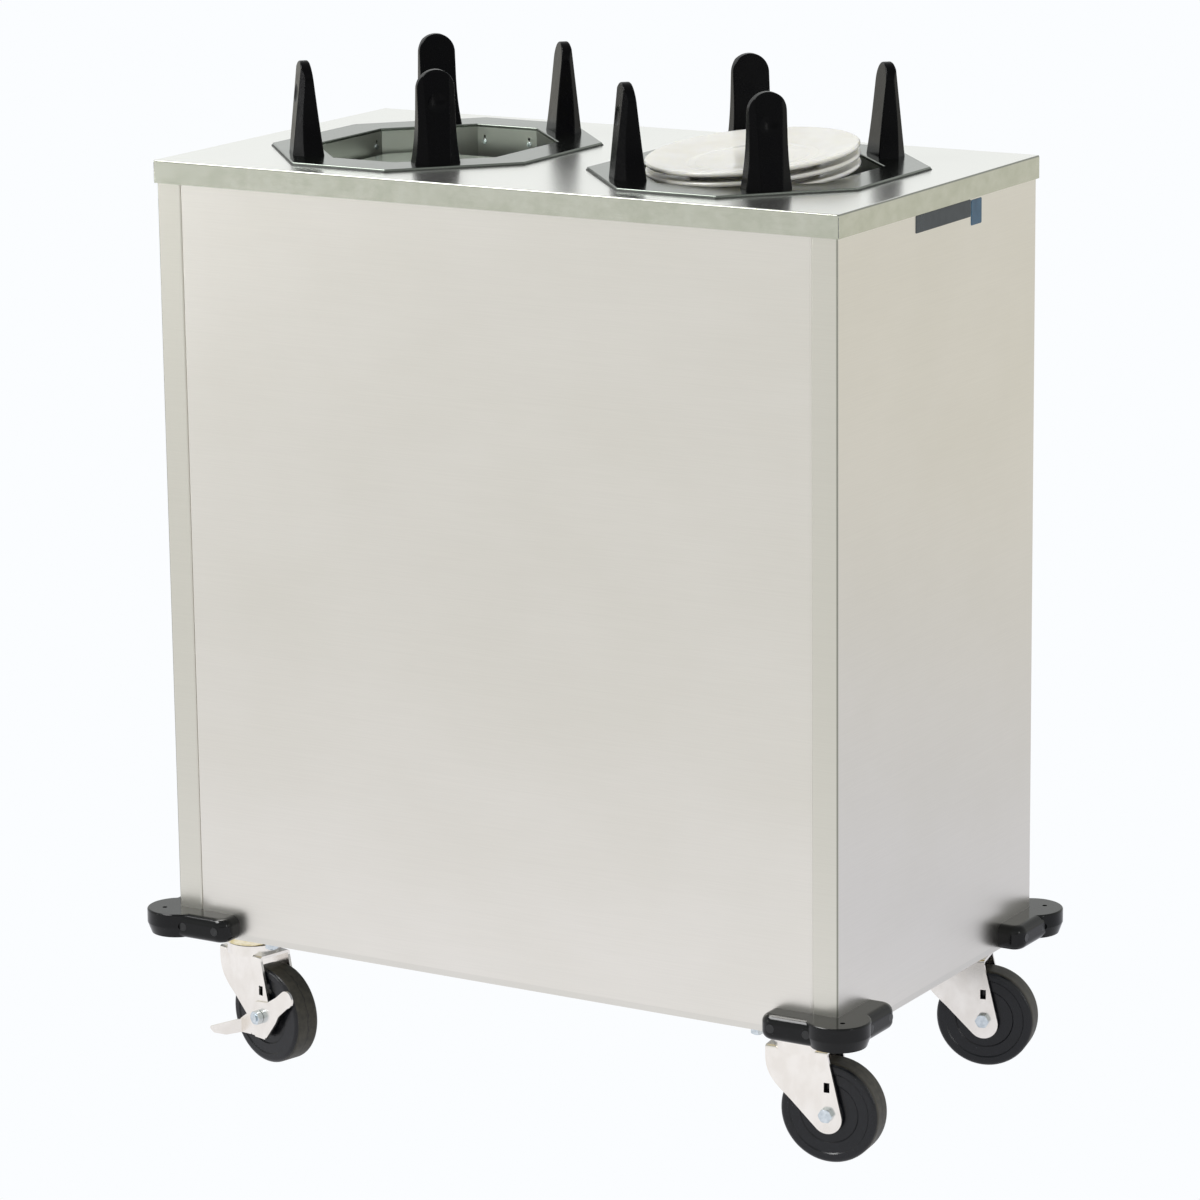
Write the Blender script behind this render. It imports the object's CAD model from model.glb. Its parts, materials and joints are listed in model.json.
import bpy
import bmesh
import json
from math import cos, radians, sin
from mathutils import Matrix, Vector


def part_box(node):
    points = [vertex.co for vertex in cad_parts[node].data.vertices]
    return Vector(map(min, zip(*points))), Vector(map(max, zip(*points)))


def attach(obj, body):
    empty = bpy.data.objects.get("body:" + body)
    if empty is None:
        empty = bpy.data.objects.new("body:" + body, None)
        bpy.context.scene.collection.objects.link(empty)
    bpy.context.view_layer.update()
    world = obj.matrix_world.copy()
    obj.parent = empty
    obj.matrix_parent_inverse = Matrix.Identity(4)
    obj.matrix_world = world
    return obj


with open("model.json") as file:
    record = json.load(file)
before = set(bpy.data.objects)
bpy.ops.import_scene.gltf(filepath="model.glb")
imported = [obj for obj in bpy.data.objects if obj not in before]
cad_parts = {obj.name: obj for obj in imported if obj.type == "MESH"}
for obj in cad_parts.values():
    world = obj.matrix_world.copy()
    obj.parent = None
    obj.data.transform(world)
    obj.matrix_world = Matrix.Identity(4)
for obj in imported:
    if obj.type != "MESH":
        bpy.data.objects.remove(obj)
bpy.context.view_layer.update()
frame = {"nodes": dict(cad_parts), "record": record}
nodes = frame["nodes"]

# Enclosed two-stack plate dispenser cart. Metres, +Z up, -Y towards the cart's front.
MM = 0.001

# ---- colours and shader nodes ----

# how far the values of a noise reach: more than half of them, most, and nearly all
MIDDLE = (0.35, 0.65)
WIDER = (0.3, 0.7)
WIDEST = (0.25, 0.75)


def linear(hex_colour):
    """A #rrggbb sRGB colour as the linear RGBA a shader socket takes."""
    channels = [int(hex_colour[start:start + 2], 16) / 255 for start in (1, 3, 5)]
    values = [c / 12.92 if c <= 0.04045 else ((c + 0.055) / 1.055) ** 2.4 for c in channels]
    return (*values, 1.0)


def add_node(tree, kind, inputs=None, **settings):
    """A node of that kind with its settings. An input goes by its name, or by its number where
    several have one name, and takes a value, an output, or a node's first live output."""
    made = tree.nodes.new(kind)
    for name, value in settings.items():
        setattr(made, name, value)
    live = [socket for socket in made.inputs if socket.enabled]
    for name, value in (inputs or {}).items():
        socket = live[name] if isinstance(name, int) else next(s for s in live if s.name == name)
        if isinstance(value, bpy.types.Node):
            value = next(output for output in value.outputs if output.enabled)
        if isinstance(value, bpy.types.NodeSocket):
            tree.links.new(value, socket)
        else:
            socket.default_value = value
    return made


def new_material(name):
    """An empty node material, its tree and its Object coordinates."""
    material = bpy.data.materials.new(name)
    material.use_nodes = True
    tree = material.node_tree
    tree.nodes.clear()
    return material, tree, add_node(tree, "ShaderNodeTexCoord").outputs["Object"]


def surfaced(material, inputs):
    """The material, shown by a Principled shader with these inputs."""
    shader = add_node(material.node_tree, "ShaderNodeBsdfPrincipled", inputs)
    add_node(material.node_tree, "ShaderNodeOutputMaterial", {"Surface": shader})
    return material


def marks(tree, place, spacing, detail):
    """Soft marks about spacing millimetres apart along X, Y and Z, as a value around a half."""
    scale = [1 / (millimetres * MM) for millimetres in spacing]
    spaced = add_node(tree, "ShaderNodeMapping", {"Vector": place, "Scale": scale})
    return add_node(
        tree, "ShaderNodeTexNoise",
        {"Vector": spaced, "Scale": 1.0, "Detail": detail, "Roughness": 0.6},
    )


def shaded(tree, value, span, colours, share=(0, 1), way="LINEAR"):
    """A colour that turns from the first to the second while a value crosses a span. The share
    is how much of the second there is at the span's two ends."""
    amount = add_node(
        tree, "ShaderNodeMapRange",
        {"Value": value, "From Min": span[0], "From Max": span[1],
         "To Min": share[0], "To Max": share[1]},
        interpolation_type=way,
    )
    return add_node(
        tree, "ShaderNodeMix", {"Factor": amount, "A": colours[0], "B": colours[1]},
        data_type="RGBA",
    )


# ---- finishes ----


def polish(tree, place, roughness, wave):
    """The shader inputs of finely polished sheet: bare metal with marks of wiping, on a slight
    wave that many millimetres deep."""
    brightest, dullest = roughness - 0.012, roughness + 0.014
    wiped = marks(tree, place, (260, 260, 200), 2)
    dull = add_node(
        tree, "ShaderNodeMapRange",
        {"Value": wiped, "From Min": WIDER[0], "From Max": WIDER[1],
         "To Min": brightest, "To Max": dullest},
        interpolation_type="SMOOTHSTEP",
    )
    ripple = marks(tree, place, (300, 300, 400), 0)
    normal = add_node(
        tree, "ShaderNodeBump", {"Height": ripple, "Distance": wave * MM, "Strength": 1.0}
    )
    return {"Metallic": 1.0, "Roughness": dull, "Normal": normal}


def hair_lines(tree, place, grain, colour):
    """A colour with the hair lines of fine polishing, one or two shades darker. Real ones are
    about 0.1 mm apart; these are drawn at 0.5 mm, which is as fine as a render shows."""
    darker = add_node(
        tree, "ShaderNodeMix", {"Factor": 1.0, "A": colour, "B": linear("#fcfcfc")},
        data_type="RGBA", blend_type="MULTIPLY",
    )
    hair = marks(tree, place, grain, 2)
    return shaded(tree, hair, WIDER, (colour, darker), way="SMOOTHSTEP")


def bent_round(tree, place, corner, colour):
    """A colour for sheet folded round an upright corner: duller beyond the bend, with a fine
    dark line along it."""
    beyond, crease = linear("#dcdad1"), linear("#6b6f62")
    most = 0.75   # how far the crease takes the colour over
    tip = corner.x + corner.y
    axes = add_node(tree, "ShaderNodeSeparateXYZ", {"Vector": place}).outputs
    across, depth = (
        add_node(tree, "ShaderNodeMath", {0: axes[axis]}, operation="ABSOLUTE")
        for axis in ("X", "Y")
    )
    bend = (corner.y - 1.6 * MM, corner.y - 0.6 * MM)
    colour = shaded(tree, depth, bend, (colour, beyond))
    reach = add_node(tree, "ShaderNodeMath", {0: across, 1: depth}, operation="ADD")
    ridge = (tip - 1.7 * MM, tip - 1.1 * MM)
    return shaded(tree, reach, ridge, (colour, crease), (0, most))


def stainless(name, light, dark, roughness, grain=(60, 60, 0.5), hem=None, wrap=None):
    """Stainless sheet, cold rolled and finely polished along one direction. The eye sees an
    even, satin grey with a hair-fine grain and soft marks from wiping. Below the height of a
    hem, where the edge was flattened, it is a shade duller. A wrap is the corner round which
    the sheet was folded."""
    material, tree, place = new_material(name)
    cloud = marks(tree, place, (170, 170, 130), 3)
    tones = (linear(light), linear(dark))
    colour = shaded(tree, cloud, WIDEST, tones, way="SMOOTHSTEP")
    if hem:
        flattened, most = linear("#cfcec8"), 0.35
        height = add_node(tree, "ShaderNodeSeparateXYZ", {"Vector": place}).outputs["Z"]
        colour = shaded(tree, height, (hem - 1.2 * MM, hem), (colour, flattened), (most, 0))
    if wrap:
        colour = bent_round(tree, place, wrap, colour)
    colour = hair_lines(tree, place, grain, colour)
    return surfaced(material, {"Base Color": colour, **polish(tree, place, roughness, 0.05)})


def lid_steel(name, top, skirt, skirt_dark):
    """The lid's stainless sheet. The eye sees a pale, softly mirroring top, and a skirt that is
    duller and grey-green, mottled where the folded edge was dressed by hand. The fold itself
    is scuffed darker, so that only a soft line of light runs along it."""
    material, tree, place = new_material(name)
    height = add_node(tree, "ShaderNodeSeparateXYZ", {"Vector": place}).outputs["Z"]
    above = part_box("lid")[1].z
    mottle = marks(tree, place, (22, 22, 16), 4)
    colour = shaded(tree, mottle, MIDDLE, (linear(skirt), linear(skirt_dark)))
    for foot, head, tone in ((2.0, 1.2, "#8b8c83"), (0.28, 0.14, top)):
        span = (above - foot * MM, above - head * MM)
        colour = shaded(tree, height, span, (colour, linear(tone)))
    colour = hair_lines(tree, place, (60, 0.5, 0.5), colour)
    return surfaced(material, {"Base Color": colour, **polish(tree, place, 0.25, 0.04)})


def uneven(tree, place, clouds, colours, gloss, dents, depth):
    """The shader inputs of a surface whose colour and roughness wander together in soft clouds,
    over small dents that many millimetres deep. Clouds and dents are a spacing and a detail."""
    cloud = marks(tree, place, *clouds)
    dull = add_node(
        tree, "ShaderNodeMapRange",
        {"Value": cloud, "From Min": MIDDLE[0], "From Max": MIDDLE[1],
         "To Min": gloss[0], "To Max": gloss[1]},
    )
    normal = add_node(
        tree, "ShaderNodeBump",
        {"Height": marks(tree, place, *dents), "Distance": depth * MM, "Strength": 1.0},
    )
    colour = shaded(tree, cloud, MIDDLE, [linear(shade) for shade in colours])
    return {"Base Color": colour, "Roughness": dull, "Normal": normal}


def plated(name, light, dark, roughness, spread=(16, 16, 24)):
    """Bright nickel or zinc plate on pressed steel: near white and smooth, faintly clouded."""
    material, tree, place = new_material(name)
    gloss = (roughness - 0.02, roughness + 0.03)
    pits = ((1.2, 1.2, 1.2), 2)
    inputs = uneven(tree, place, (spread, 2), (light, dark), gloss, pits, 0.0008)
    return surfaced(material, {**inputs, "Metallic": 1.0})


def moulded(name, light, dark, roughness, texture=0.01, ior=1.5, specular=0.5):
    """Injection-moulded plastic or rubber: one colour, faintly uneven in gloss and skin."""
    material, tree, place = new_material(name)
    gloss = (roughness - 0.03, roughness + 0.05)
    skin = ((0.9, 0.9, 0.9), 2)
    inputs = uneven(tree, place, ((14, 14, 14), 3), (light, dark), gloss, skin, texture)
    return surfaced(material, {**inputs, "IOR": ior, "Specular IOR Level": specular})


def glazed_china(name, light, dark):
    """Glazed hotel china: warm off-white, a little translucent, under a clear, smooth glaze."""
    material, tree, place = new_material(name)
    pull = ((6, 6, 6), 1)
    inputs = uneven(tree, place, ((40, 40, 10), 2), (light, dark), (0.10, 0.16), pull, 0.01)
    inputs.update({
        "IOR": 1.52, "Subsurface Weight": 0.25, "Subsurface Scale": 1.0,
        "Subsurface Radius": (4 * MM, 4 * MM, 2.5 * MM),
    })
    return surfaced(material, inputs)


def wheel_rubber(name, joint):
    """A solid rubber wheel. The eye sees a blue-black moulded flank with a soft gloss, and a
    tread worn dull and grey-brown, with the mould's parting line round its middle."""
    material, tree, place = new_material(name)
    centre, axis = Vector(joint["pos_m"]), Vector(joint["axis"]).normalized()
    offset = add_node(tree, "ShaderNodeVectorMath", {0: place, 1: centre}, operation="SUBTRACT")
    along, across = (
        add_node(tree, "ShaderNodeVectorMath", {0: offset, 1: axis}, operation=product)
        for product in ("DOT_PRODUCT", "CROSS_PRODUCT")
    )
    radius = add_node(tree, "ShaderNodeVectorMath", {0: across}, operation="LENGTH")
    cloud = marks(tree, place, (7, 7, 7), 4)
    flank, tread = (
        shaded(tree, cloud, MIDDLE, (linear(light), linear(dark)))
        for light, dark in (("#15171c", "#101216"), ("#454239", "#34322c"))
    )
    waver = add_node(
        tree, "ShaderNodeMapRange",
        {"Value": cloud, "From Min": MIDDLE[0], "From Max": MIDDLE[1],
         "To Min": -1.2 * MM, "To Max": 1.2 * MM},
    )
    aside = add_node(tree, "ShaderNodeMath", {0: along, 1: waver}, operation="ADD")
    from_line = add_node(tree, "ShaderNodeMath", {0: aside}, operation="ABSOLUTE")
    tread = shaded(tree, from_line, (0.2 * MM, 0.8 * MM), (linear("#24231f"), tread))
    shoulder = (49.6 * MM, 50.5 * MM)   # where the flank turns into the tread
    dull = add_node(
        tree, "ShaderNodeMapRange",
        {"Value": radius, "From Min": shoulder[0], "From Max": shoulder[1],
         "To Min": 0.27, "To Max": 0.55},
    )
    skin = marks(tree, place, (0.9, 0.9, 0.9), 2)
    normal = add_node(
        tree, "ShaderNodeBump", {"Height": skin, "Distance": 0.008 * MM, "Strength": 1.0}
    )
    colour = shaded(tree, radius, shoulder, (flank, tread))
    return surfaced(
        material, {"Base Color": colour, "Roughness": dull, "Normal": normal, "IOR": 1.42}
    )


panel_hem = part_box("front_panel")[0].z + 7 * MM   # the top of the panels' flattened edge
finishes = {
    # the cabinet's sheet: an even, warm satin grey
    "panel": stainless("rolled_stainless_panel", "#e8e5df", "#e5e2db", 0.30, hem=panel_hem),
    "side": stainless(
        "rolled_stainless_side", "#e8e5df", "#e5e2db", 0.30, hem=panel_hem,
        wrap=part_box("right_side_panel")[1],
    ),
    "lid": lid_steel("rolled_stainless_lid", top="#fbfbf8", skirt="#ced0c4", skirt_dark="#c4c7b9"),
    # the rims are polished further: dark, sharp mirrors of the room overhead
    "rim": stainless("polished_stainless_rim", "#7b807a", "#6a6f69", 0.18, grain=(30, 0.5, 30)),
    "collar": stainless("stainless_collar", "#c3c6c0", "#acaea7", 0.30),
    # the carriers' platforms are a little greener, and brushed across
    "platform": stainless("stainless_platform", "#d0d8cd", "#bcc5b9", 0.24, grain=(0.5, 60, 60)),
    # zinc dipped: mid grey and dull, in broad soft clouds
    "inner": plated("galvanised_steel", "#b4b8ba", "#9da2a5", 0.45),
    # the forks and levers: near white and smooth, a little warm
    "plated": plated("nickel_plated_steel", "#f5f1eb", "#efeae3", 0.22),
    # passivated yellow: pale straw, glossy and blotched
    "race": plated("yellow_zinc_plated_race", "#efe6cb", "#d6c795", 0.18, spread=(12, 12, 5)),
    # bolts and rivets: cool, bright and finely clouded
    "zinc": plated("zinc_plated_fastener", "#d9e1e6", "#c4cdd3", 0.20, spread=(5, 5, 5)),
    # drawn bright and lightly oiled: an even mid grey with a soft gloss
    "wire": plated("drawn_spring_wire", "#9b9fa3", "#868a8e", 0.3),
    # sealant and shadow in an open fold: a dull line, nearly black
    "seam": moulded("dark_fold_seam", "#30332f", "#272a26", 0.6),
    # deep black and smooth, with a weak gloss that shows the moulding's facets
    "post": moulded("glossy_black_nylon_post", "#060608", "#040405", 0.20, ior=1.35, specular=0.12),
    # softer and blacker still, with bright streaks along its round edges
    "bumper": moulded(
        "black_vinyl_bumper", "#060709", "#040506", 0.12, texture=0.006, ior=1.45, specular=0.33,
    ),
    # hard and a shade greyer than the bumper round it
    "plug": moulded("black_plastic_plug", "#1b1c1e", "#151617", 0.3),
    # undyed: milky and slightly waxy
    "nylon": moulded("natural_nylon", "#e2dfd4", "#d8d4c6", 0.4),
    # stoved enamel on thin sheet: an even colour with a smooth, low gloss
    "label": moulded("dark_enamelled_plate", "#1f2d38", "#1a2731", 0.3, texture=0.004),
    "small_label": moulded("blue_enamelled_plate", "#2a5876", "#234d69", 0.3, texture=0.004),
    "china": glazed_china("glazed_hotel_china", "#efeee8", "#e9e7de"),
}

# the finish of a CAD node, by a part of its name: the first that fits, or else the inner steel
shown_as = {
    "_rim_plate": "rim",
    "_collar": "collar",
    "_carrier_platform": "platform",
    "_well_": "post",
    "_bumper": "bumper",
    "bumper_plugs": "plug",
    "caster_top_plates": "race",
    "_fork": "plated",
    "_lever": "plated",
    "_axle": "zinc",
    "caster_bolts": "zinc",
    "bumper_screws": "zinc",
    "collar_rivets": "zinc",
    "_springs": "wire",
    "_shoes": "nylon",
    "lower_plate": "china",
    "middle_plate": "china",
    "upper_plate": "china",
    "_side_panel": "side",
    "_panel": "panel",
    "lid": "lid",
}
joints = {joint["name"]: joint for joint in frame["record"]["behaviour"]["joints"]}
for name, piece in nodes.items():
    piece.data.materials.clear()
    if name.endswith("_wheel"):
        material = wheel_rubber(f"rubber_of_{name}", joints[f"{name}_roll"])
    else:
        fitting = (finish for part, finish in shown_as.items() if part in name)
        material = finishes[next(fitting, "inner")]
    piece.data.materials.append(material)

# ---- pieces beside the CAD nodes ----


def new_piece(name, shape, material):
    """A mesh object made from a bmesh."""
    mesh = bpy.data.meshes.new(name)
    shape.to_mesh(mesh)
    shape.free()
    mesh.materials.append(material)
    piece = bpy.data.objects.new(name, mesh)
    bpy.context.scene.collection.objects.link(piece)
    return piece


def on_cabinet(name, shape, material):
    """A piece that goes with the cabinet."""
    piece = new_piece(name, shape, material)
    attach(piece, "cabinet")
    return piece


def add_block(shape, size):
    """A block of that size round the origin; its corners."""
    corners = bmesh.ops.create_cube(shape, size=1)["verts"]
    bmesh.ops.scale(shape, vec=size, verts=corners)
    return corners


def round_edges(shape, edges, width, steps):
    """Round some edges off."""
    bmesh.ops.bevel(
        shape, geom=edges, offset=width, offset_type="OFFSET", affect="EDGES",
        segments=steps, profile=0.5, material=-1,
    )


def uprights(shape, shortest):
    """The edges of a shape that rise by more than that."""
    return [e for e in shape.edges if abs(e.verts[0].co.z - e.verts[1].co.z) > shortest]


def lid_corner_seams():
    """The open corners of the folded skirt: a hair-thin dark line down each corner, where two
    turned-down flanges meet edge to edge, seen as a narrow strip that stands proud by 0.1 mm."""
    inset = 0.9 * MM                     # of each strip's middle, from the skirt's two faces
    reach, width = 1.3 * MM, 0.5 * MM    # its size along the corner's diagonal and across it
    low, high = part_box("lid")
    tall = high.z - low.z - 2.4 * MM   # it ends below the fold
    shape = bmesh.new()
    for x, side_x in ((low.x, -1), (high.x, 1)):
        for y, side_y in ((low.y, -1), (high.y, 1)):
            place = (x - side_x * inset, y - side_y * inset, low.z + tall / 2)
            turn = Matrix.Rotation(radians(45 * side_x * side_y), 4, "Z")
            strip = add_block(shape, (reach, width, tall))
            bmesh.ops.transform(shape, matrix=Matrix.Translation(place) @ turn, verts=strip)
    round_edges(shape, uprights(shape, 5 * MM), 0.1 * MM, 2)
    on_cabinet("lid_corner_seams", shape, finishes["seam"])


def seam_fillers():
    """Dressed weld along the right side panel's two upright seams, a hair behind the face."""
    width, thickness = 1.6 * MM, 0.2 * MM
    depth = 0.34 * MM           # of its middle, behind the panels' face
    low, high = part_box("front_panel")
    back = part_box("back_panel")[1].y
    seam = high.x + 0.12 * MM   # the middle of the gap between the panels
    shape = bmesh.new()
    for face, inwards in ((low.y, 1), (back, -1)):
        strip = add_block(shape, (width, thickness, high.z - low.z - 2 * MM))
        place = (seam, face + inwards * depth, (low.z + high.z) / 2)
        bmesh.ops.translate(shape, vec=place, verts=strip)
    round_edges(shape, uprights(shape, 5 * MM), 0.06 * MM, 2)
    on_cabinet("seam_fillers", shape, finishes["panel"])


def rim_beads():
    """A thin bead of dark sealant round the foot of each rim plate, on the lid."""
    flat_x, flat_y = 54 * MM, 75 * MM   # half lengths of the rim's flats along X and Y
    # the bead's section, from its inner foot on: each step goes outwards and up by so much
    section = ((1.2 * MM, 0), (-0.3 * MM, 1.0 * MM), (-1.2 * MM, 0.4 * MM))
    for side in ("left", "right"):
        low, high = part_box(f"{side}_rim_plate")
        middle, half = (low + high) / 2, (high - low) / 2
        quarter = [(half.x, flat_y), (flat_x, half.y)]
        corners = quarter + [(-x, y) for x, y in reversed(quarter)]
        corners += [(-x, -y) for x, y in corners]
        shape = bmesh.new()
        loop = [shape.verts.new((middle.x + x, middle.y + y, low.z)) for x, y in corners]
        foot = [shape.edges.new(pair) for pair in zip(loop, loop[1:] + loop[:1])]
        last = foot
        about = Matrix.Translation((-middle.x, -middle.y, 0))
        for outwards, rise in section:
            made = bmesh.ops.extrude_edge_only(shape, edges=last)["geom"]
            moved = [part for part in made if isinstance(part, bmesh.types.BMVert)]
            last = [
                part for part in made if isinstance(part, bmesh.types.BMEdge) and part.is_boundary
            ]
            grow = 1 + outwards / half.x
            bmesh.ops.scale(shape, vec=(grow, grow, 1), space=about, verts=moved)
            bmesh.ops.translate(shape, vec=(0, 0, rise), verts=moved)
        bmesh.ops.bridge_loops(shape, edges=foot + last)
        bmesh.ops.recalc_face_normals(shape, faces=shape.faces)
        on_cabinet(f"{side}_rim_bead", shape, finishes["seam"])


def name_plates():
    """A blank enamelled plate on the right side, near the lid, and a smaller one beside it."""
    thickness, corner, edge = 0.5 * MM, 1.5 * MM, 0.2 * MM
    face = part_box("right_side_panel")[1].x
    to_the_right = Matrix(((0, 0, 1, 0), (1, 0, 0, 0), (0, 1, 0, 0), (0, 0, 0, 1)))
    for name, finish, length, height, y, z in (
        ("name_plate", "label", 0.115, 0.017, 0.006, 0.905),
        ("small_name_plate", "small_label", 0.022, 0.025, 0.076, 0.900),
    ):
        shape = bmesh.new()
        add_block(shape, (length, height, thickness))
        round_edges(shape, uprights(shape, thickness / 2), corner, 8)
        front = [e for e in shape.edges if min(v.co.z for v in e.verts) > thickness * 0.4]
        round_edges(shape, front, edge, 3)
        bmesh.ops.translate(shape, vec=(0, 0, thickness / 2), verts=shape.verts)
        place = Matrix.Translation((face, y, z)) @ to_the_right
        bmesh.ops.transform(shape, matrix=place, verts=shape.verts)
        on_cabinet(name, shape, finishes[finish])


lid_corner_seams()
seam_fillers()
rim_beads()
name_plates()

# ---- floor, light and camera ----

STUDIO_WHITE = "#fbfdff"   # what the floor and the backdrop show


def white_floor():
    """A matt white floor. The camera sees it even and white. Polished metal sees a soft studio
    floor, palest close before the cart, greyer further out, and cool, then warm, behind it."""
    material, tree, place = new_material("white_floor")
    depth = add_node(tree, "ShaderNodeSeparateXYZ", {"Vector": place}).outputs["Y"]
    before = shaded(tree, depth, (-1.6, -0.7), (linear("#e9e9e7"), linear("#fcfcff")))
    behind = shaded(tree, depth, (0.6, 2.8), (linear("#e0e1e8"), linear("#e6e4db")))
    tone = shaded(tree, depth, (-0.4, 0.5), (before, behind))
    matt = add_node(tree, "ShaderNodeBsdfDiffuse", {"Color": linear("#f4f4f4")})
    mirrored = add_node(tree, "ShaderNodeEmission", {"Color": tone, "Strength": 1.0})
    seen = add_node(tree, "ShaderNodeEmission", {"Color": linear(STUDIO_WHITE), "Strength": 1.0})
    path = add_node(tree, "ShaderNodeLightPath").outputs
    surface = matt
    for ray, shader in (("Is Glossy Ray", mirrored), ("Is Camera Ray", seen)):
        surface = add_node(tree, "ShaderNodeMixShader", {0: path[ray], 1: surface, 2: shader})
    add_node(tree, "ShaderNodeOutputMaterial", {"Surface": surface})
    return material


def add_floor():
    """A wide floor under the wheels."""
    shape = bmesh.new()
    bmesh.ops.create_grid(shape, x_segments=1, y_segments=1, size=30)
    new_piece("floor", shape, white_floor())


def add_world():
    """A pale studio all round, near white where the camera or polished metal sees it."""
    world = bpy.data.worlds.new("studio")
    bpy.context.scene.world = world
    world.use_nodes = True
    tree = world.node_tree
    tree.nodes.clear()
    way = add_node(tree, "ShaderNodeTexCoord").outputs["Generated"]
    # overhead the studio is darker, which keeps gloss from looking milky
    height = add_node(tree, "ShaderNodeSeparateXYZ", {"Vector": way}).outputs["Z"]
    overhead = add_node(
        tree, "ShaderNodeMapRange",
        {"Value": height, "From Min": 0.25, "From Max": 0.85, "To Min": 0.97, "To Max": 0.62},
    )
    # low down on the front right it opens into a darker room, which black gloss picks up
    doorway = (0.68, -0.65, -0.34)
    toward = add_node(tree, "ShaderNodeVectorMath", {0: way, 1: doorway}, operation="DOT_PRODUCT")
    room = add_node(
        tree, "ShaderNodeMapRange",
        {"Value": toward, "From Min": 0.78, "From Max": 0.96, "To Min": 1.0, "To Max": 0.25},
    )
    fall = add_node(tree, "ShaderNodeMath", {0: overhead, 1: room}, operation="MULTIPLY")
    lit, glossy, seen = (
        add_node(tree, "ShaderNodeBackground", {"Color": linear(tone), "Strength": strength})
        for tone, strength in (("#ffffff", 0.55), ("#f6f8f6", fall), (STUDIO_WHITE, 1.0))
    )
    path = add_node(tree, "ShaderNodeLightPath").outputs
    surface = lit
    for ray, shader in (("Is Glossy Ray", glossy), ("Is Camera Ray", seen)):
        surface = add_node(tree, "ShaderNodeMixShader", {0: path[ray], 1: surface, 2: shader})
    add_node(tree, "ShaderNodeOutputWorld", {"Surface": surface})


def add_lamp(name, place, aim, size, power):
    """A soft rectangular lamp that faces a point."""
    lamp = bpy.data.lights.new(name, "AREA")
    lamp.shape = "RECTANGLE"
    lamp.size, lamp.size_y = size
    lamp.energy = power
    holder = bpy.data.objects.new(name, lamp)
    holder.location = place
    holder.rotation_euler = (Vector(aim) - Vector(place)).to_track_quat("-Z", "Y").to_euler()
    bpy.context.scene.collection.objects.link(holder)
    return holder


def add_camera():
    """The camera: a long lens from the front right, slightly above the lid."""
    turn, rise, roll = radians(30.97), radians(13.41), radians(-0.67)
    sideways, upwards, away = -0.00505, 0.43957, 6.663   # its place, in lengths of the lid
    lid_length, caster_height = 0.775, 0.135
    frame_width, focal_length = 1200, 5008.9   # in pixels
    back = Vector((sin(turn) * cos(rise), -cos(turn) * cos(rise), sin(rise)))
    level = Vector((cos(turn), sin(turn), 0))
    above = back.cross(level)
    right = level * cos(roll) + above * sin(roll)
    up = above * cos(roll) - level * sin(roll)
    place = (right * sideways + up * upwards + back * away) * lid_length
    place.z += caster_height
    data = bpy.data.cameras.new("camera")
    data.sensor_width = 36
    data.lens = data.sensor_width * focal_length / frame_width
    data.clip_end = 100
    camera = bpy.data.objects.new("camera", data)
    facing = Matrix((right, up, back)).transposed().to_4x4()
    camera.matrix_world = Matrix.Translation(place) @ facing
    bpy.context.scene.collection.objects.link(camera)
    bpy.context.scene.camera = camera


add_floor()
add_world()
# the large lamps light the cart; the strips and the softbox draw the gloss, so that polished
# sheet shows the pale studio and not the lamps, and black mouldings keep narrow streaks
for name, place, aim, size, power in (
    ("key", (-2.2, -3.2, 3.4), (0, 0, 0.6), (2.4, 2.4), 60),
    ("fill", (3.4, -1.6, 2.2), (0, 0, 0.6), (2.0, 2.0), 26),
    ("top", (0, 0.6, 3.6), (0, 0, 0.9), (2.6, 1.6), 26),
):
    add_lamp(name, place, aim, size, power).visible_glossy = False
for name, place, aim, size, power in (
    ("left_strip", (-2.6, -2.2, 1.1), (0, 0, 0.5), (0.16, 1.1), 8),
    ("right_strip", (3.2, -0.9, 1.2), (0, 0, 0.5), (0.2, 1.2), 6),
    ("sheen_box", (-1.15, -0.95, 2.6), (0.1, -0.2, 0.2), (1.6, 0.9), 70),
):
    add_lamp(name, place, aim, size, power).visible_diffuse = False
add_camera()
bpy.context.scene.view_settings.view_transform = "Standard"
